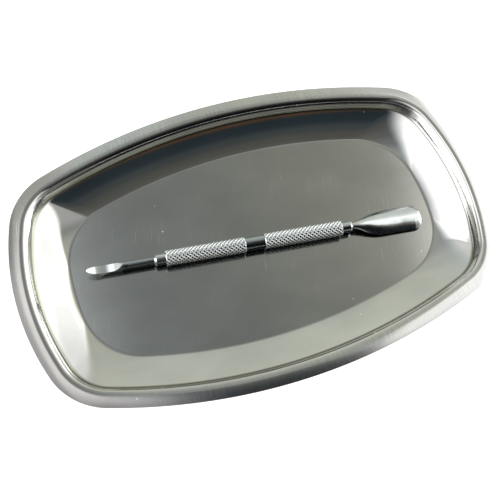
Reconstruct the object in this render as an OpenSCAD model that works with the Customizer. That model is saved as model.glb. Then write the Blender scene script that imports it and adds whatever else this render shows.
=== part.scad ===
// Pressed sheet-metal counting tray with a loose double-ended tool lying in it.
// Millimetres. Z is up, and the origin is under the middle of the tray's floor.

/* [Tray outline] */
// Overall length of the tray
tray_l = 190; // [170:1:220]
// Overall width of the tray
tray_w = 120; // [105:1:135]
// Radius of the bowed long sides
side_r = 228; // [200:1:300]
// Radius of the bowed ends
end_r = 102; // [90:1:130]
// Radius of the rounded corners
corner_r = 26; // [20:1:34]

/* [Tray section] */
// Thickness of the sheet
sheet_t = 0.6; // [0.5:0.05:0.8]
// Height of the rim's crest above the underside
rim_h = 10; // [8:0.5:14]
// Width of the flange, from its cut edge to its crest
flange_w = 5.2; // [4:0.1:7]
// How far the flange's cut edge hangs below its crest
edge_drop = 0.8; // [0.4:0.1:1.2]
// Radius of the bend between the flange and the step
bend_r = 1.4; // [1:0.1:2]
// Width of the rim, from the cut edge to the top of the wall
rim_w = 8.7; // [8.2:0.1:10]
// Height of the top of the wall above the underside
ledge_h = 4.95; // [4:0.05:6]
// Share of the wall's fall that is straight, the rest is a hollow curve
wall_straight = 0.6; // [0.3:0.05:1]

/* [Tray floor] */
// Length of the flat floor
floor_l = 147.6; // [120:0.2:150]
// Width of the flat floor
floor_w = 78.4; // [60:0.2:82]
// Radius of the floor's long sides
floor_side_r = 203; // [180:1:280]
// Radius of the floor's ends
floor_end_r = 84; // [75:1:110]
// Radius of the floor's corners
floor_corner_r = 25; // [18:1:28]

/* [Tool handle] */
// Diameter over the knurling
knurl_d = 6.3; // [5.6:0.1:7]
// Length of the knurled handle
handle_l = 71.3; // [60:0.1:90]
// Diameter of the smooth band in the middle of the handle
band_d = 5.6; // [5:0.1:6]
// Length of the smooth band
band_l = 7.8; // [4:0.1:12]
// Bore of the handle tube
bore_d = 3.6; // [3:0.1:4]
// Bevel on the ends of the knurling
knurl_bevel = 0.3; // [0.1:0.05:0.5]

/* [Tool ferrules] */
// Diameter of the collar at each end of the handle
collar_d = 4.4; // [4:0.1:5]
// Length of each collar outside the handle
collar_l = 4.5; // [3:0.1:6]
// Length of the bevel on the collar's outer end
collar_bevel = 0.8; // [0.4:0.1:1.2]
// Length of the spigot pressed into the handle
spigot_l = 9; // [6:0.5:14]
// Diameter of the tang that holds each working end
tang_d = 2; // [1.6:0.1:2.2]

/* [Scoop end] */
// Diameter of the scoop's rod
rod_d = 2.9; // [2.4:0.1:3.2]
// Distance from the collar to the tip of the scoop
scoop_reach = 26.2; // [22:0.1:32]
// Length of the hollowed face
scoop_face_l = 13.4; // [10:0.1:16]
// Width of the blade under the hollowed face
blade_d = 3.1; // [2.9:0.1:3.6]
// Radius of the long hollow
hollow_r = 19; // [15:1:30]
// Radius at the inner end of the hollow
ramp_r = 4; // [3:0.5:6]
// Radius of the blade's belly under the tip
belly_r = 13.5; // [11:0.5:18]

/* [Pusher end] */
// Distance from the collar to the tip of the pusher
pusher_reach = 30; // [26:0.1:36]
// Width of the pusher's bowl
bowl_w = 10.4; // [8:0.1:12]
// Diameter of the neck where it leaves the collar
neck_d = 2.8; // [2.4:0.1:3.2]
// How far the bowl's edge lies below the tool's axis
bowl_drop = 1.9; // [1:0.1:2.3]
// Height of the bowl's crown above the tool's axis, near the nose
crown_h = 0.4; // [0.2:0.1:1.4]
// Thickness of the bowl
bowl_t = 0.9; // [0.6:0.1:1.2]
// Length of the bevel ground on the pusher's nose
nose_bevel_l = 1.7; // [1.2:0.1:3]
// Length of the pusher's rounded nose
round_l = 4; // [3:0.1:5.5]

/* [Tool place] */
// X of the middle of the handle
tool_x = -1.4; // [-6:0.1:6]
// Y of the middle of the handle
tool_y = -1.6; // [-10:0.1:10]
// Turn of the tool about the vertical, in degrees
tool_turn = -6.7; // [-12:0.1:12]
// Gap between the knurling and the floor
rest_gap = 0.05; // [0.05:0.05:0.3]

/* [Hidden] */
$fn = 64;
fuse = 0.01;

// ---- outlines -------------------------------------------------------------------------
// An outline is a barrel of eight tangent arcs: [half length, half width, side radius,
// end radius, corner radius]. Segments per quarter: half an end, a corner, half a side.
end_n = 4;
corner_n = 8;
side_n = 7;
round_n = 4 * (end_n + corner_n + side_n);
rim_outline = [tray_l / 2, tray_w / 2, side_r, end_r, corner_r];
floor_outline = [floor_l / 2, floor_w / 2, floor_side_r, floor_end_r, floor_corner_r];

// Middle of the corner arc: it touches the side arc and the end arc from inside
function corner_mid(o) =
    let (side_c = [0, o[1] - o[2]], end_c = [o[0] - o[3], 0])
    let (p = o[2] - o[4], q = o[3] - o[4], v = end_c - side_c, gap = norm(v))
    let (along = (p * p - q * q + gap * gap) / (2 * gap), off = sqrt(p * p - along * along))
    side_c + v / gap * along + [v[1], -v[0]] / gap * off;
// Angle at which the side arc meets the corner arc, and the corner arc the end arc
function side_turn(o) = let (c = corner_mid(o)) atan2(c[1] - o[1] + o[2], c[0]);
function end_turn(o) = let (c = corner_mid(o)) atan2(c[1], c[0] - o[0] + o[3]);

function on_arc(mid, r, turn, inset) = mid + (r - inset) * [cos(turn), sin(turn)];
// First quarter of an outline, moved inwards by inset, without its last point
function quarter(o, inset) =
    let (c = corner_mid(o), te = end_turn(o), ts = side_turn(o)) [
    for (i = [0:end_n - 1]) on_arc([o[0] - o[3], 0], o[3], te * i / end_n, inset),
    for (i = [0:corner_n - 1]) on_arc(c, o[4], te + (ts - te) * i / corner_n, inset),
    for (i = [0:side_n - 1]) on_arc([0, o[1] - o[2]], o[2], ts + (90 - ts) * i / side_n, inset)];
function reversed(list) = [for (i = [len(list) - 1:-1:0]) list[i]];
function tail(list) = [for (i = [1:len(list) - 1]) list[i]];
function ring(o, inset) =
    let (q = quarter(o, inset), top = [0, o[1] - inset]) [
    each q,
    top, for (p = reversed(tail(q))) [-p[0], p[1]],
    for (p = q) -p,
    -top, for (p = reversed(tail(q))) [p[0], -p[1]]];

// ---- tray section ---------------------------------------------------------------------
// [distance in from the cut edge, height] of the upper face, from the edge to the floor
wall_w = (tray_l - floor_l) / 2 - rim_w;
bend_end = 14;
ledge_fillet = 0.7;
flange_n = 3;
bend_n = 3;
wall_n = 5;
flange_pts = [for (i = [0:flange_n - 1]) let (s = i / flange_n)
    [flange_w * s, rim_h - edge_drop * pow(1 - s, 2)]];
bend_pts = [for (i = [0:bend_n]) let (turn = 90 - (90 - bend_end) * i / bend_n)
    [flange_w + bend_r * cos(turn), rim_h - bend_r + bend_r * sin(turn)]];
ledge_pts = [[rim_w - 1.1 * ledge_fillet, ledge_h + ledge_fillet],
             [rim_w - 0.5 * ledge_fillet, ledge_h + 0.2 * ledge_fillet]];
wall_pts = [for (i = [0:wall_n]) let (left = 1 - i / wall_n)
    [rim_w + wall_w * (1 - left),
     sheet_t + (ledge_h - sheet_t) * (wall_straight * left + (1 - wall_straight) * left * left)]];
face_up = [each flange_pts, each bend_pts, each ledge_pts, each wall_pts];

function unit(v) = v / norm(v);
// Direction of the section at point i, averaged over its two neighbours
function run(i) = i == 0 ? unit(face_up[1] - face_up[0])
    : i == len(face_up) - 1 ? unit(unit(face_up[i] - face_up[i - 1]) + [1, 0])
    : unit(unit(face_up[i + 1] - face_up[i]) + unit(face_up[i] - face_up[i - 1]));
// The underside is one sheet thickness away, square to the upper face
face_down = [for (i = [0:len(face_up) - 1]) let (v = run(i))
    i == len(face_up) - 1 ? [face_up[i][0] + sheet_t * v[1], 0]
    : face_up[i] + sheet_t * [v[1], -v[0]]];

// A ring of the tray at a section point: on the rim an inset outline, and on the wall a
// blend between the wall's top outline and the floor outline
function lifted(points, z) = [for (p = points) [p[0], p[1], z]];
function tray_ring(p) =
    p[0] <= rim_w ? lifted(ring(rim_outline, p[0]), p[1])
    : let (share = (p[0] - rim_w) / wall_w, top = ring(rim_outline, rim_w), low = ring(floor_outline, 0))
      lifted(top + (low - top) * share, p[1]);

module tray() {
    n = round_n;
    up = len(face_up);
    rings = [for (p = face_up) tray_ring(p), for (p = reversed(face_down)) tray_ring(p)];
    count = len(rings);
    top_mid = count * n;
    low_mid = top_mid + 1;
    points = [for (r = rings) each r, [0, 0, sheet_t], [0, 0, 0]];
    // The upper face runs inwards ring by ring, and the underside back outwards; the last
    // ring of the underside meets the first of the upper face at the cut edge
    bands = [for (k = [0:count - 1]) if (k != up - 1) k];
    faces = [
        for (k = bands) let (next = (k + 1) % count) for (i = [0:n - 1]) let (j = (i + 1) % n)
            each [[k * n + i, next * n + i, next * n + j], [k * n + i, next * n + j, k * n + j]],
        for (i = [0:n - 1]) let (j = (i + 1) % n) [(up - 1) * n + i, top_mid, (up - 1) * n + j],
        for (i = [0:n - 1]) let (j = (i + 1) % n) [up * n + j, low_mid, up * n + i]];
    color("silver") polyhedron(points, faces, convexity = 6);
}

// ---- tool -----------------------------------------------------------------------------
// In the tool's own frame X runs along its axis towards the pusher, and Z is up
collar_x = handle_l / 2;
ferrule_x = collar_x + collar_l;
tool_z = sheet_t + knurl_d / 2 + rest_gap;

module place_tool() translate([tool_x, tool_y, tool_z]) rotate([0, 0, tool_turn]) children();
// Solid of revolution about the tool's axis, from a profile of [x, radius] points
module turned(profile) rotate([90, 0, 90]) rotate_extrude() polygon([for (p = profile) [p[1], p[0]]]);

module knurled_band(x0, x1) {
    r = knurl_d / 2;
    turned([[x0, 0], [x0, r - knurl_bevel], [x0 + knurl_bevel, r], [x1 - knurl_bevel, r],
            [x1, r - knurl_bevel], [x1, 0]]);
}

module handle_tube() color("silver") place_tool() difference() {
    union() {
        knurled_band(-collar_x, -band_l / 2);
        knurled_band(band_l / 2, collar_x);
        rotate([0, 90, 0]) cylinder(d = band_d, h = band_l + 2, center = true);
    }
    rotate([0, 90, 0]) cylinder(d = bore_d, h = handle_l + 2, center = true);
}

// Ferrule on the +X end: a bevelled collar, and a spigot that fills the tube's bore
module ferrule() difference() {
    turned([[collar_x - spigot_l, 0], [collar_x - spigot_l, bore_d / 2], [collar_x, bore_d / 2],
            [collar_x, collar_d / 2], [ferrule_x - collar_bevel, collar_d / 2],
            [ferrule_x, collar_d / 2 - 0.6 * collar_bevel], [ferrule_x, 0]]);
    translate([collar_x - spigot_l - 1, 0, 0]) rotate([0, 90, 0])
        cylinder(d = tang_d, h = spigot_l + collar_l + 2);
}
module scoop_ferrule() color("silver") place_tool() mirror([1, 0, 0]) ferrule();
module pusher_ferrule() color("silver") place_tool() ferrule();

// Tang on the +X end, pressed into the ferrule
module tang() translate([collar_x - spigot_l, 0, 0]) rotate([0, 90, 0])
    cylinder(d = tang_d, h = spigot_l + collar_l + fuse);

// Scoop, drawn on the +X end: x is the distance along the axis. The rod swells to the
// blade, the hollow is deepest at hollow_x, and the belly rises from belly_x to the tip.
scoop_tip_x = ferrule_x + scoop_reach;
face_x = scoop_tip_x - scoop_face_l;
swell_x = face_x - 3;
ramp_x = face_x + 3;
hollow_x = scoop_tip_x - 7.4;
belly_x = scoop_tip_x - 8.4;
nose_l = 4.3;
nose_n = 12;
module across_axis(x, z, r) translate([x, 0, z]) rotate([90, 0, 0])
    cylinder(r = r, h = 3 * blade_d, center = true, $fn = 180);
// Plan of the blade, with a nose that narrows to a rounded tip
module blade_plan() {
    r = blade_d / 2;
    side = [for (i = [0:nose_n]) let (s = sin(90 * i / nose_n))
        [scoop_tip_x - nose_l * (1 - s), r * pow(1 - s * s, 0.75)]];
    polygon([[swell_x, -r - 1], for (p = side) [p[0], -p[1]],
             for (i = [nose_n - 1:-1:0]) side[i], [swell_x, r + 1]]);
}
module blade() {
    r = blade_d / 2;
    difference() {
        intersection() {
            turned([[swell_x, 0], [swell_x, rod_d / 2], [face_x, r], [scoop_tip_x, r], [scoop_tip_x, 0]]);
            translate([0, 0, -2 * r]) linear_extrude(4 * r) blade_plan();
            union() {
                translate([swell_x - 1, -2 * r, -2 * r]) cube([belly_x - swell_x + 1, 4 * r, 4 * r]);
                across_axis(belly_x, belly_r - r, belly_r);
            }
        }
        across_axis(hollow_x, hollow_r, hollow_r);
        across_axis(ramp_x, ramp_r + 0.05, ramp_r);
    }
}
module scoop_tip() color("silver") place_tool() mirror([1, 0, 0]) union() {
    tang();
    translate([ferrule_x, 0, 0]) rotate([0, 90, 0]) cylinder(d = rod_d, h = swell_x - ferrule_x + fuse);
    blade();
}

// Pusher: a neck that opens into a bowl with its hollow side down. Every section is an
// outer arc over the crown and an inner arc under the bowl.
pusher_tip_x = ferrule_x + pusher_reach;
nose_x = pusher_tip_x - round_l;
nose_power = 2.3;
flare_l = 15;
edge_fall_l = 12;
crown_fall_l = 22;
bow_x = ferrule_x + 7.4;
bow_fall = 0.35;
bow_l = 20;
hollow_start_x = ferrule_x + 1.4;
hollow_l = 16;
edge_t = 0.3;
nose_edge_t = 0.4;
nose_bevel_h = 1.5;
neck_n = 22;
tip_n = 10;
arc_n = 12;
last_turn = 87;
pusher_xs = [for (i = [0:neck_n - 1]) ferrule_x + (nose_x - ferrule_x) * i / neck_n,
             for (i = [0:tip_n]) nose_x + round_l * sin(last_turn * i / tip_n)];

function clamp01(v) = min(1, max(0, v));
function eased(v) = let (c = clamp01(v)) c * c * (3 - 2 * c);
function opened(x) = 1 - pow(1 - pow(clamp01((x - ferrule_x) / flare_l), 1.8), 4);
function half_w(x) = x < nose_x ? neck_d / 2 + (bowl_w - neck_d) / 2 * opened(x)
    : bowl_w / 2 * pow(1 - pow((x - nose_x) / round_l, nose_power), 1 / nose_power);
function edge_z(x) = -bowl_drop * eased((x - ferrule_x) / edge_fall_l);
// The crown starts as the neck's top, falls and bows down towards the nose, and ends in the bevel
function crown_z(x) =
    let (fall = neck_d / 2 + (crown_h - neck_d / 2) * eased((x - ferrule_x) / crown_fall_l))
    let (bow = bow_fall * pow(max(0, x - bow_x) / bow_l, 2))
    let (bevel = nose_edge_t - bowl_drop + (pusher_tip_x - x) * nose_bevel_h / nose_bevel_l)
    min(fall - bow, bevel);
function under_z(x) = let (s = eased((x - hollow_start_x) / hollow_l))
    min(-neck_d / 2 * (1 - s) + (crown_h - bowl_t) * s, crown_z(x) - edge_t);
function edge_thick(x) = edge_t * eased((x - ferrule_x) / edge_fall_l);

// Arc across the tool: half chord w, ends at height z, middle raised by sag
function sagged(w, z, sag, u) = let (turn = 2 * atan2(sag, w), r = w / sin(turn))
    [r * sin(turn * u), z + r * (cos(turn * u) - cos(turn))];
function kept_off_zero(v) = abs(v) < 0.02 ? 0.02 : v;
function pusher_section(x) = let (w = half_w(x), z = edge_z(x), t = edge_thick(x))
    let (over = kept_off_zero(crown_z(x) - z - t), under = kept_off_zero(under_z(x) - z)) [
    for (i = [0:arc_n]) let (p = sagged(w, z + t, over, -1 + 2 * i / arc_n)) [x, p[0], p[1]],
    for (i = [0:arc_n]) let (p = sagged(w, z, under, 1 - 2 * i / arc_n)) [x, p[0], p[1]]];

module pusher_tip() {
    // The first station has no edge thickness, so a plain cylinder fills up to the second
    xs = tail(pusher_xs);
    n = 2 * arc_n + 2;
    last = len(xs) - 1;
    points = [for (x = xs) each pusher_section(x)];
    faces = [
        for (k = [0:last - 1]) for (i = [0:n - 1]) let (j = (i + 1) % n)
            each [[k * n + i, k * n + j, (k + 1) * n + j], [k * n + i, (k + 1) * n + j, (k + 1) * n + i]],
        [for (i = [n - 1:-1:0]) i],
        [for (i = [0:n - 1]) last * n + i]];
    color("silver") place_tool() union() {
        tang();
        translate([ferrule_x, 0, 0]) rotate([0, 90, 0]) cylinder(d = neck_d, h = xs[0] - ferrule_x + fuse);
        polyhedron(points, faces, convexity = 4);
    }
}

tray();
handle_tube();
scoop_ferrule();
pusher_ferrule();
scoop_tip();
pusher_tip();
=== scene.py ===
"""Looks of the pressed steel counting tray and its loose double-ended tool.

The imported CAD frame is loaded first. Each visible piece is then built as a fine mesh in the
place of its CAD node, and gets a procedural steel. Lengths are millimetres up to the meshes,
which are in metres.
"""
import math

import bpy
import numpy as np
from mathutils import Matrix, Vector


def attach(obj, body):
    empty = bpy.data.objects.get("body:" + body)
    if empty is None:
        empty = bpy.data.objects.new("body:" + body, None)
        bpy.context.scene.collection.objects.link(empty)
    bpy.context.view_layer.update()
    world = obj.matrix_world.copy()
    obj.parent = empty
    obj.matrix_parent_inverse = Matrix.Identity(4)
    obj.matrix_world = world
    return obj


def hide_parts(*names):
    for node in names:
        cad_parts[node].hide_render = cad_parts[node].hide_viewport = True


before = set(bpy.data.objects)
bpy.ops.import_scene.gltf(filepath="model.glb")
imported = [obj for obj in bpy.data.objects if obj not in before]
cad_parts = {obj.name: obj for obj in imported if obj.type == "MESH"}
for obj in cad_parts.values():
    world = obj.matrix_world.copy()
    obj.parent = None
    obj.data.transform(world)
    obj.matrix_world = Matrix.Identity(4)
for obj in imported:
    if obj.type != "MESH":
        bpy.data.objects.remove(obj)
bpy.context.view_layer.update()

MM = 0.001

# ---- tray dimensions -------------------------------------------------------------------
TRAY_L = 190.0
TRAY_W = 120.0
SIDE_R = 228.0
END_R = 102.0
CORNER_R = 26.0
SHEET_T = 0.6
RIM_H = 10.0
CREST_IN = 4.0
EDGE_DROP = 0.8
EDGE_POWER = 1.5
SHOULDER_R = 6.0
SHOULDER_TURN = 14.0
BEND_R = 2.2
BEND_TURN = 72.0
SATIN_W = 5.3
RIM_W = 8.7
LEDGE_H = 4.95
LEDGE_FILLET = 0.7
WALL_STRAIGHT = 0.6
WALL_FOOT = 0.6
FLOOR_L = 147.6
FLOOR_W = 78.4
FLOOR_SIDE_R = 203.0
FLOOR_END_R = 84.0
FLOOR_CORNER_R = 25.0
WALL_W = (TRAY_L - FLOOR_L) / 2 - RIM_W
RIM_OUTLINE = (TRAY_L / 2, TRAY_W / 2, SIDE_R, END_R, CORNER_R)
FLOOR_OUTLINE = (FLOOR_L / 2, FLOOR_W / 2, FLOOR_SIDE_R, FLOOR_END_R, FLOOR_CORNER_R)

# ---- tool dimensions -------------------------------------------------------------------
KNURL_D = 6.3
HANDLE_L = 71.3
BAND_D = 5.6
BAND_L = 7.8
BORE_D = 3.6
KNURL_BEVEL = 0.3
KNURL_PITCH = 1.66
KNURL_STARTS = 12
KNURL_DEPTH = 0.2
GROOVE_SHARE = 0.37
COLLAR_D = 4.4
COLLAR_L = 4.5
COLLAR_BEVEL = 0.8
SPIGOT_L = 9.0
TANG_D = 2.0
ROD_D = 2.9
SCOOP_REACH = 26.2
SCOOP_FACE_L = 13.4
BLADE_D = 3.1
HOLLOW_R = 19.0
RAMP_L = 3.3
BELLY_R = 13.5
PUSHER_REACH = 30.0
BOWL_W = 10.4
NECK_D = 2.8
BOWL_DROP = 1.9
CROWN_H = 0.4
BOWL_T = 0.9
NOSE_BEVEL_L = 1.7
TOOL_X = -1.4
TOOL_Y = -1.6
TOOL_TURN = -6.7
REST_GAP = 0.05
COLLAR_X = HANDLE_L / 2
FERRULE_X = COLLAR_X + COLLAR_L
TOOL_Z = SHEET_T + KNURL_D / 2 + REST_GAP


# ---- mesh helpers ----------------------------------------------------------------------
SHARP_TURN = 28.0


def add_mesh(name, points, faces, place=None):
    """An object from points in millimetres, shaded smooth; sharpen marks where its faces meet sharply."""
    mesh = bpy.data.meshes.new(name)
    mesh.from_pydata((np.asarray(points) * MM).tolist(), [], faces)
    mesh.polygons.foreach_set("use_smooth", [True] * len(mesh.polygons))
    mesh.update()
    piece = bpy.data.objects.new(name, mesh)
    bpy.context.scene.collection.objects.link(piece)
    if place is not None:
        piece.matrix_world = place
    return piece


def sharpen(piece):
    piece.data.set_sharp_from_angle(angle=math.radians(SHARP_TURN))


def bands(ring_count, n, closed=False):
    """Quads between neighbouring rings of n points; closed joins the last to the first."""
    quads = []
    for k in range(ring_count if closed else ring_count - 1):
        a = k * n
        b = (k + 1) % ring_count * n
        quads += [(a + i, b + i, b + (i + 1) % n, a + (i + 1) % n) for i in range(n)]
    return quads


def eased(v):
    """Smooth rise from 0 at v = 0 to 1 at v = 1."""
    c = min(1.0, max(0.0, v))
    return c * c * (3 - 2 * c)


# Painted shade under the tool: it starts this far below the axis and deepens over the fade, in
# millimetres
PAINTED_SHADE = "under"
UNDERSIDE_SHADE_START = 0.5
UNDERSIDE_SHADE_FADE = 1.1


def paint_underside_shade(piece, shares):
    """Writes how much painted shade each point of a tool piece gets."""
    layer = piece.data.attributes.new(PAINTED_SHADE, "FLOAT", "POINT")
    layer.data.foreach_set("value", np.asarray(shares, dtype=float))


def below(points):
    """Share of painted shade at points of the tool: the side that faces the tray."""
    return [eased(-(z + UNDERSIDE_SHADE_START) / UNDERSIDE_SHADE_FADE) for z in points[:, 2]]


def tool_place():
    """Where the tool lies: its own X runs along its axis towards the pusher."""
    turn = Matrix.Rotation(math.radians(TOOL_TURN), 4, "Z")
    return Matrix.Translation(Vector((TOOL_X, TOOL_Y, TOOL_Z)) * MM) @ turn


# ---- tray sheet ------------------------------------------------------------------------
# Points on each part of the outline's quarter, and of the section
END_N = 40
CORNER_N = 60
SIDE_N = 60
FLANGE_STEP = 0.05
SHOULDER_N = 9
BEND_N = 13
STEP_N = 19
FILLET_N = 10
WALL_N = 40
FOOT_N = 9
# Where the fillet starts and turns, in shares of LEDGE_FILLET
FILLET_START = 1.1
FILLET_LEAN = 0.2


def corner_mid(outline):
    """Middle of the corner arc, which touches the side arc and the end arc from inside."""
    a, b, side_r, end_r, corner_r = outline
    side_c = np.array([0, b - side_r])
    gap = np.array([a - end_r, 0]) - side_c
    p = side_r - corner_r
    q = end_r - corner_r
    span = np.hypot(*gap)
    along = (p * p - q * q + span * span) / (2 * span)
    off = math.sqrt(p * p - along * along)
    return side_c + gap / span * along + np.array([gap[1], -gap[0]]) / span * off


def arc(mid, r, start, end, n):
    turn = start + (end - start) * np.arange(n) / n
    return np.column_stack([mid[0] + r * np.cos(turn), mid[1] + r * np.sin(turn)])


def outline_ring(outline, inset):
    """The whole outline, moved inwards by inset: eight tangent arcs, the same points each time."""
    a, b, side_r, end_r, corner_r = outline
    c = corner_mid(outline)
    end_turn = math.atan2(c[1], c[0] - a + end_r)
    side_turn = math.atan2(c[1] - b + side_r, c[0])
    quarter = np.vstack([
        arc((a - end_r, 0), end_r - inset, 0, end_turn, END_N),
        arc(c, corner_r - inset, end_turn, side_turn, CORNER_N),
        arc((0, b - side_r), side_r - inset, side_turn, math.pi / 2, SIDE_N)])
    top = np.array([[0, b - inset]])
    back = quarter[:0:-1]
    return np.vstack([quarter, top, back * (-1, 1), -quarter, -top, back * (1, -1)])


def wall_z(s):
    """Height of the wall at share s of its width, from its top to the floor."""
    left = 1 - s
    fall = WALL_STRAIGHT * left + (1 - WALL_STRAIGHT) * left * left
    return SHEET_T + (LEDGE_H - SHEET_T) * fall


def section_points():
    """Upper face as [distance in from the cut edge, height]."""
    points = []
    for s in np.arange(0, 1, FLANGE_STEP):
        points.append((CREST_IN * s, RIM_H - EDGE_DROP * (1 - s) ** EDGE_POWER))
    for turn in np.radians(np.linspace(0, SHOULDER_TURN, SHOULDER_N)):
        points.append((CREST_IN + SHOULDER_R * math.sin(turn), RIM_H - SHOULDER_R * (1 - math.cos(turn))))
    turn = math.radians(SHOULDER_TURN)
    mid = np.array(points[-1]) - BEND_R * np.array([math.sin(turn), math.cos(turn)])
    for turn in np.radians(np.linspace(SHOULDER_TURN, BEND_TURN, BEND_N))[1:]:
        points.append((mid[0] + BEND_R * math.sin(turn), mid[1] + BEND_R * math.cos(turn)))
    foot = (RIM_W - FILLET_START * LEDGE_FILLET, LEDGE_H + LEDGE_FILLET)
    start = points[-1]
    for s in np.linspace(0, 1, STEP_N)[1:]:
        points.append((start[0] + (foot[0] - start[0]) * s, start[1] + (foot[1] - start[1]) * s))
    # The fillet is a smooth curve from the step's slope into the wall's
    wall_slope = -(LEDGE_H - SHEET_T) * (2 - WALL_STRAIGHT) / WALL_W
    back = (FILLET_START - FILLET_LEAN) * LEDGE_FILLET
    turn_in = (RIM_W - back, LEDGE_H - back * wall_slope)
    for s in np.linspace(0, 1, FILLET_N)[1:-1]:
        p = (1 - s) ** 2 * np.array(foot) + 2 * s * (1 - s) * np.array(turn_in)
        points.append(tuple(p + s * s * np.array([RIM_W, LEDGE_H])))
    foot_s = 1 - WALL_FOOT / WALL_W
    for s in np.linspace(0, foot_s, WALL_N):
        points.append((RIM_W + WALL_W * s, wall_z(s)))
    # The wall's foot runs out into the floor along a parabola
    rise = wall_z(foot_s) - SHEET_T
    for s in np.linspace(1, 0, FOOT_N)[1:]:
        points.append((RIM_W + WALL_W + WALL_FOOT * (1 - 2 * s), SHEET_T + rise * s * s))
    return np.array(points)


def underside(points):
    """The lower face is one sheet thickness away, square to the upper face."""
    run = np.gradient(points, axis=0)
    run /= np.hypot(run[:, 0], run[:, 1])[:, None]
    low = points + SHEET_T * np.column_stack([run[:, 1], -run[:, 0]])
    low[-2:, 1] = 0
    low[-1, 0] = points[-1, 0]
    return low


def tray_ring(d, z):
    """A ring of the tray: an inset outline on the rim, and on the wall a blend to the floor's."""
    if d <= RIM_W:
        flat = outline_ring(RIM_OUTLINE, d)
    elif d <= RIM_W + WALL_W:
        top = outline_ring(RIM_OUTLINE, RIM_W)
        flat = top + (outline_ring(FLOOR_OUTLINE, 0) - top) * (d - RIM_W) / WALL_W
    else:
        flat = outline_ring(FLOOR_OUTLINE, d - RIM_W - WALL_W)
    return np.column_stack([flat, np.full(len(flat), z)])


# Shares of the satin finishes, of painted shade and of painted reflection lines on the tray
FINISH_AND_SHADE = "finish_and_shade"
UNDERSIDE = (0.0, 1.0, 0.0, 0.0)
FLOOR_FADE = 1.8 * WALL_FOOT
FLANGE_FADE = 0.9
# Painted reflection: olive lines along the step; where they start and end, their fade, spacing and depth
REFLECTION_LINES_START = 7.15
REFLECTION_LINES_END = RIM_W - 0.6
REFLECTION_LINES_FADE = 0.15
REFLECTION_LINE_GAP = 0.3
REFLECTION_LINE_SHARE = 0.3
# Painted shade in the corner between the step and the wall: where it is deepest and how far it reaches
CORNER_IN = RIM_W - 0.5
CORNER_FADE = 0.95
SIDE_NARROWER = 0.35
UNSHADED_SHARE = 0.75
# The corner's painted shade fades out where the end faces further right and further back than this, over
# a fade
UNSHADED_X = 0.3
UNSHADED_Y = -0.5
UNSHADED_FADE = 0.3


def finish_at(d, outwards):
    """Shares of the floor's satin, the flange's satin, the corner's painted shade and the step's painted
    reflection lines.

    The painted reflection lines are fine olive lines that run along the step, mostly on the two long
    sides. The corner's painted shade fades out at the right-hand end.
    """
    long_side = outwards[:, 1] ** 2
    rightwards = np.clip((outwards[:, 0] - UNSHADED_X) / UNSHADED_FADE, 0, 1)
    backwards = np.clip((outwards[:, 1] - UNSHADED_Y) / UNSHADED_FADE, 0, 1)
    floor = eased((d - RIM_W - WALL_W + WALL_FOOT) / FLOOR_FADE)
    flange = 1 - eased((d - SATIN_W) / FLANGE_FADE)
    step = eased((d - REFLECTION_LINES_START) / REFLECTION_LINES_FADE) * eased((REFLECTION_LINES_END - d) / REFLECTION_LINES_FADE)
    wave = math.cos(2 * math.pi * (d - REFLECTION_LINES_START) / REFLECTION_LINE_GAP)
    lines = 1 - REFLECTION_LINE_SHARE + REFLECTION_LINE_SHARE * wave
    reflection_lines = step * lines * np.clip(1.6 * long_side - 0.6, 0, 1)
    plain = np.ones(len(outwards))
    near = np.clip(1.2 - abs(d - CORNER_IN) / (CORNER_FADE - SIDE_NARROWER * long_side), 0, 1)
    corner = near * near * (3 - 2 * near) * (1 - UNSHADED_SHARE * rightwards * backwards)
    return np.column_stack([floor * plain, flange * plain, corner, reflection_lines])


def make_tray():
    top = section_points()
    low = underside(top)
    rings = [tray_ring(*p) for p in top] + [tray_ring(*p) for p in low[::-1]]
    n = len(rings[0])
    count = len(rings)
    up = len(top)
    faces = [f for k, f in enumerate(bands(count, n, closed=True)) if k // n != up - 1]
    faces.append(list(range((up - 1) * n, up * n)))
    faces.append(list(range((up + 1) * n - 1, up * n - 1, -1)))
    piece = add_mesh("tray_sheet", np.vstack(rings), faces)
    sharpen(piece)
    finish_and_shade = piece.data.color_attributes.new(FINISH_AND_SHADE, "FLOAT_COLOR", "POINT")
    outwards = outline_ring(RIM_OUTLINE, 0) - outline_ring(RIM_OUTLINE, 1)
    shares = [finish_at(d, outwards) for d in top[:, 0]]
    shares.append(np.tile(UNDERSIDE, (up * n, 1)))
    finish_and_shade.data.foreach_set("color", np.vstack(shares).ravel())
    return piece


# ---- knurled handle --------------------------------------------------------------------
KNURL_STEPS = 12
BAND_N = 9
GROOVE = "groove"


def knurl_cut(phase):
    """Depth of one family of helical grooves; phase counts grooves."""
    away = np.abs(phase - np.round(phase))
    half = GROOVE_SHARE / 2
    return KNURL_DEPTH * np.clip(1 - away / half, 0, 1)


def knurled_side():
    """Grid of one knurled side from the band out: columns of x, and the radius at each point."""
    step = KNURL_PITCH / KNURL_STEPS
    length = (HANDLE_L - BAND_L) / 2
    x = BAND_L / 2 + np.append(np.arange(0, length, step), length)
    turns = np.arange(KNURL_STARTS * KNURL_STEPS) / KNURL_STEPS
    xs, ts = np.meshgrid(x, turns, indexing="ij")
    along = (xs - BAND_L / 2) / KNURL_PITCH
    cut = np.maximum(knurl_cut(along + ts), knurl_cut(along - ts))
    from_end = np.minimum(xs - BAND_L / 2, HANDLE_L / 2 - xs)
    bevelled = KNURL_D / 2 - np.clip(KNURL_BEVEL - from_end, 0, KNURL_BEVEL)
    return xs, ts, np.minimum(KNURL_D / 2 - cut, bevelled), cut / KNURL_DEPTH


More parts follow.
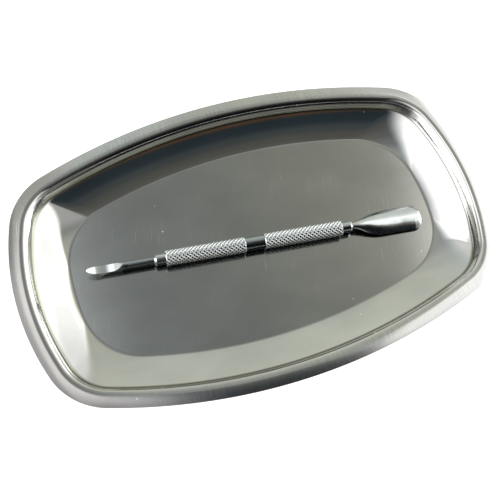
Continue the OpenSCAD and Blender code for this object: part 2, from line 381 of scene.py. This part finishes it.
def make_handle():
    xs, ts, r, cut = knurled_side()
    n = xs.shape[1]
    turn = ts * 2 * math.pi / KNURL_STARTS
    outer = np.stack([xs, r * np.cos(turn), r * np.sin(turn)], axis=2)

    def plain_ring(x, radius):
        t = turn[0]
        return np.column_stack([np.full(n, x), radius * np.cos(t), radius * np.sin(t)])

    right = list(outer)
    left = [row * (-1, 1, 1) for row in right[::-1]]
    half_band = BAND_L / 2
    band = [plain_ring(x, BAND_D / 2) for x in np.linspace(-half_band, half_band, BAND_N)]
    end = HANDLE_L / 2
    bore = [plain_ring(x, BORE_D / 2) for x in (end, 0, -end)]
    rings = left + band + right + bore
    faces = [quad[::-1] for quad in bands(len(rings), n, closed=True)]
    piece = add_mesh("knurled_handle", np.vstack(rings), faces, tool_place())
    sharpen(piece)
    plain = np.zeros(n)
    shares = list(cut[::-1]) + [plain] * len(band) + list(cut) + [plain] * len(bore)
    frosted = piece.data.attributes.new(GROOVE, "FLOAT", "POINT")
    frosted.data.foreach_set("value", np.concatenate(shares))
    paint_underside_shade(piece, below(np.vstack(rings)))
    return piece


# ---- turned ferrules -------------------------------------------------------------------
ROUND_N = 96
BEVEL_SLOPE = 0.6


def revolved(name, profile, side):
    """A closed ring of metal turned about the tool's axis; side is +1 or -1 along X."""
    turn = np.arange(ROUND_N) * 2 * math.pi / ROUND_N
    rings = [np.column_stack([np.full(ROUND_N, side * x), r * np.cos(turn), r * np.sin(turn)])
             for x, r in profile]
    quads = bands(len(rings), ROUND_N, closed=True)
    if side > 0:
        quads = [q[::-1] for q in quads]
    piece = add_mesh(name, np.vstack(rings), quads, tool_place())
    sharpen(piece)
    paint_underside_shade(piece, below(np.vstack(rings)))
    return piece


def make_ferrule(name, side):
    collar_r = COLLAR_D / 2
    bore_r = TANG_D / 2
    spigot_r = BORE_D / 2
    inner = COLLAR_X - SPIGOT_L
    bevel_x = FERRULE_X - COLLAR_BEVEL
    profile = [(inner, bore_r), (inner, spigot_r), (COLLAR_X, spigot_r), (COLLAR_X, collar_r)]
    profile += [(x, collar_r) for x in np.linspace(COLLAR_X, bevel_x, 5)[1:]]
    # The bevel's end is broken by a small second one
    end_r = collar_r - BEVEL_SLOPE * COLLAR_BEVEL
    profile += [(FERRULE_X - 0.05, end_r + 0.03), (FERRULE_X, end_r - 0.05), (FERRULE_X, bore_r)]
    return revolved(name, profile, side)


# ---- scoop -----------------------------------------------------------------------------
SCOOP_TIP_X = FERRULE_X + SCOOP_REACH
FACE_X = SCOOP_TIP_X - SCOOP_FACE_L
SWELL_L = 3.0
SWELL_X = FACE_X - SWELL_L
NOSE_L = 4.3
NOSE_EXPONENT = 0.52
HOLLOW_X = SCOOP_TIP_X - 7.4
BELLY_X = SCOOP_TIP_X - 8.4
LEAST_T = 0.08
SIDE_PARTS = 24
FLAT_PARTS = 8


def scoop_half_width(x):
    r = BLADE_D / 2
    s = min(1.0, max(0.0, 1 - (SCOOP_TIP_X - x) / NOSE_L))
    return r * (1 - s * s) ** NOSE_EXPONENT


def scoop_top(x):
    """Height of the hollowed face, which ends in a ramp up to the round rod."""
    hollow = HOLLOW_R - math.sqrt(HOLLOW_R ** 2 - (x - HOLLOW_X) ** 2)
    ramp = BLADE_D / 2 * (1 - (x - FACE_X) / RAMP_L)
    return max(hollow, ramp) if x > FACE_X else BLADE_D


def scoop_belly(x):
    """Height of the curved underside, which starts beyond the round rod."""
    if x < BELLY_X:
        return -BLADE_D
    return BELLY_R - BLADE_D / 2 - math.sqrt(BELLY_R ** 2 - (x - BELLY_X) ** 2)


def scoop_section(x):
    """Round section cut by the face above, the belly below and the plan at the sides."""
    r = ROD_D / 2 + (BLADE_D - ROD_D) / 2 * eased((x - SWELL_X) / SWELL_L)
    wide = scoop_half_width(x)
    top = min(r, scoop_top(x))
    low = min(max(-r, scoop_belly(x)), top - LEAST_T)

    def half(z):
        return min(wide, math.sqrt(max(0.0, r * r - z * z)))

    turn = np.linspace(0, math.pi, SIDE_PARTS + 1)
    zs = (top + low) / 2 + (top - low) / 2 * np.cos(turn)
    right = [(half(z), z) for z in zs]
    low_w = half(low)
    bottom = [(low_w * (1 - 2 * s), low) for s in np.linspace(0, 1, FLAT_PARTS + 1)[1:-1]]
    left = [(-w, z) for w, z in reversed(right)]
    top_w = half(top)
    over = [(top_w * (2 * s - 1), top) for s in np.linspace(0, 1, FLAT_PARTS + 1)[1:-1]]
    return [(x, w, z) for w, z in right + bottom + left + over]


def make_scoop():
    stations = [FERRULE_X] + list(np.linspace(SWELL_X, FACE_X - 1.2, 12))
    stations += list(np.linspace(FACE_X - 1.1, SCOOP_TIP_X - NOSE_L, 80))
    stations += [SCOOP_TIP_X - NOSE_L * (1 - math.sin(t)) for t in np.linspace(0.03, 1.53, 40)]
    rings = [scoop_section(x) for x in stations]
    n = len(rings[0])
    rings = [[(-x, w, z) for x, w, z in ring] for ring in rings]
    faces = bands(len(rings), n)
    faces.append(list(range(n - 1, -1, -1)))
    faces.append(list(range((len(rings) - 1) * n, len(rings) * n)))
    points = np.vstack(rings)
    piece = add_mesh("scoop_blade", points, faces, tool_place())
    sharpen(piece)
    # Painted shade underneath, except on the ground blade
    paint_underside_shade(piece, np.where(points[:, 0] > -FACE_X, below(points), 0))
    return piece


# ---- pusher ----------------------------------------------------------------------------
PUSHER_TIP_X = FERRULE_X + PUSHER_REACH
ROUND_L = 4.0
NOSE_X = PUSHER_TIP_X - ROUND_L
NOSE_POWER = 2.3
FLARE_L = 15.0
FLARE_START = 1.8
FLARE_END = 4
EDGE_FALL_L = 12.0
CROWN_FALL_L = 22.0
BOW_X = FERRULE_X + 7.4
BOW_FALL = 0.35
BOW_L = 20.0
HOLLOW_START_X = FERRULE_X + 1.4
HOLLOW_L = 16.0
EDGE_T = 0.15
NOSE_EDGE_T = 0.3
NOSE_BEVEL_H = 1.5
HALF_PARTS = 40
LENGTH_N = 90
ROUND_STATIONS = 60
# Shares of the bowl's width at which a section starts to be a parabola, and how fast
ELLIPSE_UNTIL = 0.15
ELLIPSE_FADE = 0.2


def pusher_half_width(x):
    """Half the width in plan: the neck opens into the bowl, and its nose is rounded."""
    if x >= NOSE_X:
        s = (x - NOSE_X) / ROUND_L
        return BOWL_W / 2 * (1 - s ** NOSE_POWER) ** (1 / NOSE_POWER)
    s = min(1.0, max(0.0, (x - FERRULE_X) / FLARE_L))
    opened = 1 - (1 - s ** FLARE_START) ** FLARE_END
    return NECK_D / 2 + (BOWL_W - NECK_D) / 2 * opened


def crown_z(x):
    """Height of the bowl's middle line, which ends in the nose bevel."""
    fall = NECK_D / 2 + (CROWN_H - NECK_D / 2) * eased((x - FERRULE_X) / CROWN_FALL_L)
    bow = BOW_FALL * (max(0.0, x - BOW_X) / BOW_L) ** 2
    bevel = NOSE_EDGE_T - BOWL_DROP + (PUSHER_TIP_X - x) * NOSE_BEVEL_H / NOSE_BEVEL_L
    return min(fall - bow, bevel)


def under_z(x):
    """Height of the hollow under that line."""
    s = eased((x - HOLLOW_START_X) / HOLLOW_L)
    return min(-NECK_D / 2 * (1 - s) + (CROWN_H - BOWL_T) * s, crown_z(x) - EDGE_T)


def sagged(w, z, sag, n):
    """n + 1 points across the tool: ends at +-w and height z, middle raised by sag.

    A narrow section is half an ellipse, like the round neck, and a wide one is a parabola.
    """
    wide = eased((w / BOWL_W - ELLIPSE_UNTIL) / ELLIPSE_FADE)
    u = -np.cos(np.linspace(0, math.pi, n + 1))
    rise = wide * (1 - u * u) + (1 - wide) * np.sqrt(1 - u * u)
    return np.column_stack([w * u, z + sag * rise])


def pusher_section(x):
    w = pusher_half_width(x)
    z = -BOWL_DROP * eased((x - FERRULE_X) / EDGE_FALL_L)
    t = EDGE_T * eased((x - FERRULE_X) / EDGE_FALL_L)
    over = sagged(w, z + t, crown_z(x) - z - t, HALF_PARTS)
    under = sagged(w, z, under_z(x) - z, HALF_PARTS)[::-1]
    flat = np.vstack([over, under])
    return np.column_stack([np.full(len(flat), x), flat])


def make_pusher():
    stations = list(np.linspace(FERRULE_X + 0.2, NOSE_X, LENGTH_N))
    turns = np.radians(np.linspace(0, 87.5, ROUND_STATIONS))[1:]
    stations += [NOSE_X + ROUND_L * math.sin(t) for t in turns]
    rings = [pusher_section(x) for x in stations]
    n = len(rings[0])
    faces = [q[::-1] for q in bands(len(rings), n)]
    faces.append(list(range(n)))
    faces.append(list(range(len(rings) * n - 1, (len(rings) - 1) * n - 1, -1)))
    piece = add_mesh("pusher_bowl", np.vstack(rings), faces, tool_place())
    sharpen(piece)
    # Painted shade over the bowl's whole lower face
    paint_underside_shade(piece, ([0] * (n // 2) + [1] * (n // 2)) * len(rings))
    return piece


# ---- node trees ------------------------------------------------------------------------
class Nodes:
    """Short calls for building a node tree."""

    def __init__(self, tree):
        self.tree = tree

    def node(self, kind, **values):
        made = self.tree.nodes.new("ShaderNode" + kind)
        for key, value in values.items():
            setattr(made, key, value)
        return made

    def feed(self, value, socket):
        """Links a socket, or sets a plain number or colour."""
        if isinstance(value, (int, float)):
            socket.default_value = value
        elif isinstance(value, tuple):
            socket.default_value = (*value, 1)
        else:
            self.tree.links.new(value, socket)

    def maths(self, operation, *values):
        """A Math node on sockets or numbers."""
        made = self.node("Math", operation=operation)
        for socket, value in zip(made.inputs, values):
            self.feed(value, socket)
        return made.outputs[0]

    def spread(self, value, low, high, start=0.3, end=0.7):
        """Eases from low at start to high at end."""
        made = self.node("MapRange", interpolation_type="SMOOTHSTEP")
        for name, number in (("Value", value), ("From Min", start), ("From Max", end),
                             ("To Min", low), ("To Max", high)):
            self.feed(number, made.inputs[name])
        return made.outputs["Result"]

    def step(self, value, start, end):
        """Eases from 0 at start to 1 at end."""
        return self.spread(value, 0.0, 1.0, start, end)

    def mix(self, share, a, b, blend="MIX"):
        """Colour a where share is 0, and b where it is 1."""
        made = self.node("Mix", data_type="RGBA", blend_type=blend)
        self.feed(share, made.inputs["Factor"])
        self.feed(a, made.inputs[6])
        self.feed(b, made.inputs[7])
        return made.outputs[2]


# ---- steels ----------------------------------------------------------------------------
class Steel(Nodes):
    """A metallic Principled material."""

    def __init__(self, name, anisotropic=0.0):
        self.material = bpy.data.materials.new(name)
        self.material.use_nodes = True
        super().__init__(self.material.node_tree)
        self.shader = self.tree.nodes["Principled BSDF"]
        self.shader.inputs["Metallic"].default_value = 1.0
        self.shader.inputs["Anisotropic"].default_value = anisotropic
        self.place = self.node("TexCoord").outputs["Object"]
        axes = self.node("SeparateXYZ")
        self.feed(self.place, axes.inputs[0])
        self.x = axes.outputs[0]

    def scaled(self, per_mm, turn=0.0):
        """Object coordinates in features per millimetre, turned about Z."""
        spun = self.node("Mapping")
        spun.inputs["Rotation"].default_value = (0, 0, math.radians(turn))
        self.feed(self.place, spun.inputs["Vector"])
        made = self.node("Mapping")
        made.inputs["Scale"].default_value = [s / MM for s in per_mm]
        self.feed(spun.outputs["Vector"], made.inputs["Vector"])
        return made.outputs["Vector"]

    def noise(self, per_mm, detail=2.0, turn=0.0):
        """Noise with that many features per millimetre along X, Y and Z."""
        made = self.node("TexNoise")
        made.inputs["Scale"].default_value = 1.0
        made.inputs["Detail"].default_value = detail
        self.feed(self.scaled(per_mm, turn), made.inputs["Vector"])
        return made.outputs["Fac"]

    def specks(self, per_mm, radius, share):
        """Round specks, of that radius in millimetres, in a share of the cells."""
        cells = self.node("TexVoronoi")
        cells.inputs["Scale"].default_value = 1.0
        self.feed(self.scaled((per_mm, per_mm, per_mm)), cells.inputs["Vector"])
        spot = self.spread(cells.outputs["Distance"], 1.0, 0.0, radius * per_mm * 0.5, radius * per_mm)
        chosen = self.node("SeparateColor")
        self.feed(cells.outputs["Color"], chosen.inputs[0])
        return self.maths("MULTIPLY", spot, self.maths("LESS_THAN", chosen.outputs[0], share))

    def colour(self, source):
        self.feed(source, self.shader.inputs["Base Color"])

    def rough(self, source):
        self.feed(source, self.shader.inputs["Roughness"])

    def bump(self, height, strength, depth_mm):
        """Relief of that depth, from a height of 0 to 1."""
        made = self.node("Bump")
        made.inputs["Strength"].default_value = strength
        made.inputs["Distance"].default_value = depth_mm * MM
        self.feed(height, made.inputs["Height"])
        self.feed(made.outputs["Normal"], self.shader.inputs["Normal"])

    def grain_along(self, layer):
        """Spreads reflections along the U direction of that UV layer."""
        tangent = self.node("Tangent", direction_type="UV_MAP", uv_map=layer)
        self.feed(tangent.outputs[0], self.shader.inputs["Tangent"])


GRAIN_UV = "grain"
GRAIN_PER_M = 5


def add_grain_uv(piece):
    """U runs along Y, which is the way that the sheet's satin spreads a reflection."""
    layer = piece.data.uv_layers.new(name=GRAIN_UV)
    mesh = piece.data
    co = np.empty(len(mesh.vertices) * 3)
    mesh.vertices.foreach_get("co", co)
    co = co.reshape(-1, 3)
    index = np.empty(len(mesh.loops), int)
    mesh.loops.foreach_get("vertex_index", index)
    uv = np.column_stack([co[index, 1], -co[index, 0]]) * GRAIN_PER_M + 0.5
    layer.data.foreach_set("uv", uv.ravel())


WALL_TINT = (0.70, 0.70, 0.68)
# The floor's tint is much darker than the wall's: painted shade for the floor's dim reflection
FLOOR_TINT = (0.385, 0.39, 0.38)
FLANGE_TINT = (0.64, 0.65, 0.63)
# Darker flange tint: painted shade at the flange's left end, and the colour of its brushed streaks
FLANGE_SHADE_AND_STREAK_TINT = (0.42, 0.412, 0.4)
# Dark olive tint of the painted shade in the step's corner
CREASE_SHADE_TINT = (0.24, 0.245, 0.19)
# Olive tint of the painted reflection lines along the step
STEP_REFLECTION_TINT = (0.60, 0.61, 0.48)
DUST_TINT = (0.95, 0.95, 0.92)
KNURL_TINT = (0.50, 0.55, 0.59)
COLLAR_TINT = (0.70, 0.73, 0.74)
BLADE_TINT = (0.69, 0.73, 0.73)
# Darker tint of the round rod: painted shade for its dark reflection
ROD_SHADE_TINT = (0.42, 0.46, 0.48)
# Dark tint of the painted shade under the tool
UNDERSIDE_SHADE_TINT = (0.09, 0.095, 0.1)
FROST_TINT = (0.95, 0.94, 0.85)
WALL_ROUGH = 0.05
FLOOR_ROUGH = 0.14
FLANGE_ROUGH = 0.17
KNURL_ROUGH = 0.1
COLLAR_ROUGH = 0.08
SCOOP_ROUGH = 0.11
PUSHER_ROUGH = 0.13
FROST_ROUGH = 0.4
LATHE_MM = 0.004
SCOOP_RIPPLE_MM = 0.02
PUSHER_RIPPLE_MM = 0.03


def tray_steel():
    """Polished wall between a satin floor and a satin flange, with dust and light scratches."""
    steel = Steel("pressed_steel", anisotropic=0.5)
    finish_and_shade = steel.node("SeparateColor")
    shares = steel.node("Attribute", attribute_name=FINISH_AND_SHADE)
    steel.feed(shares.outputs["Color"], finish_and_shade.inputs[0])
    floor, flange, corner = finish_and_shade.outputs[:3]
    reflection_lines = shares.outputs["Alpha"]
    streak = steel.noise((7, 0.12, 0.12), detail=2)
    grain = steel.noise((16, 0.6, 16), detail=2)
    blotch = steel.noise((0.03, 0.05, 0.05), detail=3)
    wave = steel.noise((0.08, 0.08, 0.08), detail=1)
    scratch = steel.maths("MULTIPLY", steel.step(steel.noise((5, 0.06, 5), detail=1, turn=12), 0.7, 0.75),
                          steel.step(blotch, 0.45, 0.6))
    dust = steel.specks(per_mm=0.35, radius=0.3, share=0.03)
    tint = steel.mix(floor, WALL_TINT, FLOOR_TINT)
    # Painted shade: the flange darkens towards its left end
    left_end_shade = steel.step(steel.x, -0.055, -0.08)
    tint = steel.mix(flange, tint, steel.mix(left_end_shade, FLANGE_TINT, FLANGE_SHADE_AND_STREAK_TINT))
    # Painted shade in the step's corner: a dark olive tint
    tint = steel.mix(corner, tint, CREASE_SHADE_TINT)
    # Painted reflection: olive lines along the step, also less metallic there
    tint = steel.mix(reflection_lines, tint, STEP_REFLECTION_TINT)
    worn = steel.maths("MULTIPLY", steel.spread(blotch, 0.93, 1.07), steel.spread(grain, 0.985, 1.015))
    shade = steel.node("CombineColor")
    for socket in shade.inputs:
        steel.feed(worn, socket)
    tint = steel.mix(1.0, tint, shade.outputs[0], "MULTIPLY")
    flecks = steel.maths("MAXIMUM", dust, steel.maths("MULTIPLY", scratch, 0.42))
    brushed = steel.maths("MULTIPLY", steel.spread(streak, 0.35, 0.0), flange)
    tint = steel.mix(brushed, tint, FLANGE_SHADE_AND_STREAK_TINT)
    steel.colour(steel.mix(flecks, tint, DUST_TINT))
    dull = steel.maths("MAXIMUM", steel.maths("MULTIPLY", reflection_lines, 0.7), dust)
    steel.feed(steel.maths("SUBTRACT", 1.0, dull), steel.shader.inputs["Metallic"])
    rough = steel.maths("ADD", WALL_ROUGH, steel.maths("MULTIPLY", floor, FLOOR_ROUGH - WALL_ROUGH))
    rough = steel.maths("ADD", rough, steel.maths("MULTIPLY", flange, FLANGE_ROUGH - WALL_ROUGH))
    rough = steel.maths("ADD", rough, steel.maths("MULTIPLY", corner, 0.2))
    satin = steel.maths("ADD", floor, flange)
    varied = steel.maths("MULTIPLY", steel.spread(streak, -0.02, 0.02), satin)
    rough = steel.maths("ADD", steel.maths("ADD", rough, varied), steel.maths("MULTIPLY", dust, 0.3))
    steel.rough(rough)
    fine = steel.maths("MULTIPLY", satin, steel.maths("MULTIPLY", streak, 0.04))
    broad = steel.maths("MULTIPLY", wave, steel.spread(floor, 1.0, 0.35, 0, 1))
    steel.bump(steel.maths("ADD", broad, fine), 0.3, 0.02)
    steel.grain_along(GRAIN_UV)
    return steel.material


def turned_steel(name, tint, roughness, ripple_mm=0.0, ground_from=None):
    """Fine rings round the tool's axis, as a lathe leaves them, and frost in cut grooves.

    Ripples are broader waves that hand grinding leaves across a blade. Steel that is nearer to
    the handle than ground_from (on the scoop's side) gets a darker tint, painted shade for the
    round rod's dark reflection. The underside gets a dark tint of painted shade.
    """
    steel = Steel(name)
    rings = steel.noise((9, 0.2, 0.2), detail=2)
    worn = steel.noise((0.4, 0.4, 0.4), detail=3)
    groove = steel.step(steel.node("Attribute", attribute_name=GROOVE).outputs["Fac"], 0.3, 0.75)
    low = tuple(c * 0.93 for c in tint)
    face = steel.mix(steel.step(worn, 0.3, 0.7), low, tint)
    # Painted shade: the round rod nearer the handle than the ground face is tinted darker
    if ground_from is not None:
        rod_shade = steel.step(steel.x, -ground_from * MM, (0.4 - ground_from) * MM)
        face = steel.mix(rod_shade, face, ROD_SHADE_TINT)
    face = steel.mix(groove, face, FROST_TINT)
    # Painted shade: the underside is tinted dark
    under = steel.node("Attribute", attribute_name=PAINTED_SHADE).outputs["Fac"]
    steel.colour(steel.mix(under, face, UNDERSIDE_SHADE_TINT))
    turned = steel.spread(rings, roughness * 0.7, roughness * 1.4)
    steel.rough(steel.spread(groove, turned, FROST_ROUGH, 0, 1))
    steel.feed(steel.spread(groove, 1.0, 0.75, 0, 1), steel.shader.inputs["Metallic"])
    ripple = steel.maths("MULTIPLY", steel.noise((1.1, 0.05, 0.05), detail=3), ripple_mm / LATHE_MM)
    steel.bump(steel.maths("ADD", rings, ripple), 0.2, LATHE_MM)
    return steel.material


# ---- studio ----------------------------------------------------------------------------
PAPER_REACH = 3.0
PAPER_GREY = 0.5
PAPER_GLOW = 0.95


def add_floor():
    """White paper that glows a little, so that the camera sees it as plain white."""
    reach = PAPER_REACH
    corners = [(-reach, -reach, 0), (reach, -reach, 0), (reach, reach, 0), (-reach, reach, 0)]
    mesh = bpy.data.meshes.new("studio_floor")
    mesh.from_pydata(corners, [], [(0, 1, 2, 3)])
    floor = bpy.data.objects.new("studio_floor", mesh)
    bpy.context.scene.collection.objects.link(floor)
    paper = bpy.data.materials.new("white_paper")
    paper.use_nodes = True
    shader = paper.node_tree.nodes["Principled BSDF"]
    shader.inputs["Base Color"].default_value = (*grey(PAPER_GREY), 1)
    shader.inputs["Roughness"].default_value = 0.9
    shader.inputs["Emission Color"].default_value = (1, 1, 1, 1)
    shader.inputs["Emission Strength"].default_value = PAPER_GLOW
    mesh.materials.append(paper)


def grey(level, warm=0.0, green=0.0):
    """A grey with a slight warm (+) or cold (-) cast, and a green one."""
    return (level * (1 + warm), level * (1 + green), level * (1 - warm))


TENT_POWER = 1.5
LAMP_GAIN = 2.6
RUST = (0.058, 0.034, 0.02)
# Light of the tent along its columns, from the front (y = -1) to the back (y = 1)
ROOM = [(-1.0, grey(0.006, -0.2)),
        (-0.52, grey(0.006, -0.2)), (-0.47, RUST), (-0.4, RUST),
        (-0.375, grey(0.022, -0.25, 0.02)), (-0.3, grey(0.024, -0.3, 0.03)),
        (-0.2, grey(0.045, -0.1, 0.04)), (-0.08, grey(0.065, 0.04, 0.03)),
        (0.05, grey(0.09, 0.03, 0.03)), (0.12, grey(0.13, 0, 0.03)), (0.2, grey(0.25, 0, 0.04)),
        (0.44, grey(0.26, 0.02, 0.05)), (0.54, grey(0.35, 0.02, 0.06)), (0.7, grey(0.39, 0.03, 0.06)),
        (1.0, grey(0.43, 0.03, 0.06))]
LEFT_BOX = [(-1.0, grey(0.03)), (-0.5, grey(0.1)), (-0.3, grey(0.4, 0, -0.03)),
            (-0.12, grey(0.75, 0, -0.02)), (0.02, grey(0.95)), (0.15, grey(1.15)),
            (0.45, grey(1.15)), (0.462, grey(0.35)), (0.474, grey(0.55)),
            (0.6, grey(0.5, 0.02, 0.03)), (1.0, grey(0.46, 0.03, 0.05))]
RIGHT_BOX = [(-1.0, grey(0.03)), (-0.6, grey(0.2)), (-0.38, grey(0.45)), (-0.28, grey(0.95)),
             (0.34, grey(1.0)), (0.37, grey(0.86)), (0.45, grey(0.76)), (0.55, grey(0.64, 0.01)),
             (0.7, grey(0.5, 0.02, 0.03)), (1.0, grey(0.46, 0.03, 0.05))]
WEDGE = grey(0.3, -0.02)
WEDGE_SLANT = 0.44
SHADE_SHARE = 0.5
# Tints of the room from its left to its right, and of the part that the floor's right side shows
COOL_CAST = (0.96, 0.99, 1.04)
WARM_CAST = (1.0, 1.0, 0.96)
PALE_CAST = (1.35, 1.33, 1.27)


def column(nodes, height, stops):
    """Colour that eases through the stops; height runs from 0 at the front to 1 at the back."""
    ramp = nodes.node("ValToRGB")
    ramp.color_ramp.interpolation = "EASE"
    while len(ramp.color_ramp.elements) < len(stops):
        ramp.color_ramp.elements.new(0.5)
    for element, (y, colour) in zip(ramp.color_ramp.elements, stops):
        element.position = (y + 1) / 2
        element.color = (*colour, 1)
    nodes.feed(height, ramp.inputs["Fac"])
    return ramp.outputs["Color"]


def add_world():
    """A white tent, lit from both sides, with a dark opening at the front.

    X and Y are those of the direction that is looked along, so a reflection finds its panel by
    them. The camera itself sees plain white.
    """
    world = bpy.data.worlds.new("tent")
    world.use_nodes = True
    nodes = Nodes(world.node_tree)
    axes = nodes.node("SeparateXYZ")
    nodes.feed(nodes.node("TexCoord").outputs["Generated"], axes.inputs[0])
    x, y = axes.outputs[:2]
    height = nodes.maths("MULTIPLY_ADD", y, 0.5, 0.5)
    # Room in the middle, and the light box on the left with the shade at its side
    left_share = nodes.step(nodes.maths("MULTIPLY", x, -1.0), -0.05, 0.16)
    tent = nodes.mix(left_share, column(nodes, height, ROOM), column(nodes, height, LEFT_BOX))
    shade = nodes.maths("MULTIPLY", nodes.spread(x, 1.0, 0.0, -0.5, -0.36), nodes.step(x, -0.9, -0.75))
    tent = nodes.mix(nodes.maths("MULTIPLY", shade, SHADE_SHARE), tent, (0.0, 0.0, 0.0))
    # Slanted wedge in front of the light box on the right
    slanted = nodes.maths("MULTIPLY_ADD", y, WEDGE_SLANT, x)
    low_down = nodes.spread(y, 1.0, 0.0, 0.05, 0.2)
    wedge_share = nodes.maths("MULTIPLY", nodes.step(slanted, 0.232, 0.25), low_down)
    tent = nodes.mix(wedge_share, tent, WEDGE)
    edge_in = nodes.spread(y, 0.345, 0.365, 0.05, 0.25)
    edge_out = nodes.spread(y, 0.385, 0.46, 0.15, 0.45)
    tent = nodes.mix(nodes.step(x, edge_in, edge_out), tent, column(nodes, height, RIGHT_BOX))
    # Tints of the room between the two boxes
    cast = nodes.mix(nodes.step(x, 0.02, 0.26), COOL_CAST, WARM_CAST)
    middle = nodes.maths("MULTIPLY", nodes.step(x, -0.12, 0.0), nodes.spread(x, 1.0, 0.0, 0.38, 0.48))
    tent = nodes.mix(middle, tent, cast, "MULTIPLY")
    beside = nodes.maths("MULTIPLY", nodes.step(x, 0.17, 0.33), nodes.spread(x, 1.0, 0.0, 0.4, 0.48))
    above = nodes.maths("MULTIPLY", nodes.step(y, 0.15, 0.25), nodes.spread(y, 1.0, 0.0, 0.44, 0.54))
    pale = nodes.maths("MULTIPLY", beside, above)
    tent = nodes.mix(pale, tent, PALE_CAST, "MULTIPLY")
    # Lamps low down at both sides
    low_side = nodes.step(nodes.maths("ABSOLUTE", x), 0.6, 0.85)
    power = nodes.maths("MULTIPLY_ADD", low_side, TENT_POWER * (LAMP_GAIN - 1), TENT_POWER)
    seen = nodes.node("LightPath").outputs["Is Camera Ray"]
    background = nodes.tree.nodes["Background"]
    nodes.feed(nodes.spread(seen, power, TENT_POWER, 0, 1), background.inputs["Strength"])
    nodes.feed(nodes.mix(seen, tent, grey(1.0 / TENT_POWER)), background.inputs["Color"])
    bpy.context.scene.world = world


CAMERA_PLACE = (-68.47, -111.54, 308.02)
CAMERA_TURN = -30.82
CAMERA_RISE = 67.6
CAMERA_ROLL = 12.55
LENS_MM = 60.165
SENSOR_MM = 36.0


def add_camera():
    """The camera's turn and rise are those of the line from the tray to it."""
    turn = math.radians(CAMERA_TURN)
    rise = math.radians(CAMERA_RISE)
    back = Vector((math.sin(turn) * math.cos(rise), -math.cos(turn) * math.cos(rise), math.sin(rise)))
    right = Vector((math.cos(turn), math.sin(turn), 0))
    axes = Matrix((right, back.cross(right), back)).transposed().to_4x4()
    data = bpy.data.cameras.new("camera")
    data.lens = LENS_MM
    data.sensor_width = SENSOR_MM
    data.clip_start = 0.01
    data.clip_end = 20.0
    camera = bpy.data.objects.new("camera", data)
    bpy.context.scene.collection.objects.link(camera)
    roll = Matrix.Rotation(math.radians(CAMERA_ROLL), 4, "Z")
    camera.matrix_world = Matrix.Translation(Vector(CAMERA_PLACE) * MM) @ axes @ roll
    bpy.context.scene.camera = camera


# ---- the scene -------------------------------------------------------------------------
def settle(piece, node, body, material):
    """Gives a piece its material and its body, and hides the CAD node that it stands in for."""
    piece.data.materials.append(material)
    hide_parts(node)
    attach(piece, body)


def main():
    bpy.context.scene.view_settings.view_transform = "Standard"
    add_camera()
    add_world()
    add_floor()
    knurl = turned_steel("knurled_steel", KNURL_TINT, KNURL_ROUGH)
    bright = turned_steel("bright_steel", COLLAR_TINT, COLLAR_ROUGH)
    scoop = turned_steel("scoop_steel", BLADE_TINT, SCOOP_ROUGH, SCOOP_RIPPLE_MM, FACE_X - 0.5)
    ground = turned_steel("ground_steel", BLADE_TINT, PUSHER_ROUGH, PUSHER_RIPPLE_MM)
    tray = make_tray()
    add_grain_uv(tray)
    settle(tray, "tray", "tray", tray_steel())
    settle(make_handle(), "handle_tube", "tool", knurl)
    settle(make_ferrule("scoop_collar", -1), "scoop_ferrule", "tool", bright)
    settle(make_ferrule("pusher_collar", 1), "pusher_ferrule", "tool", bright)
    settle(make_scoop(), "scoop_tip", "tool", scoop)
    settle(make_pusher(), "pusher_tip", "tool", ground)


main()
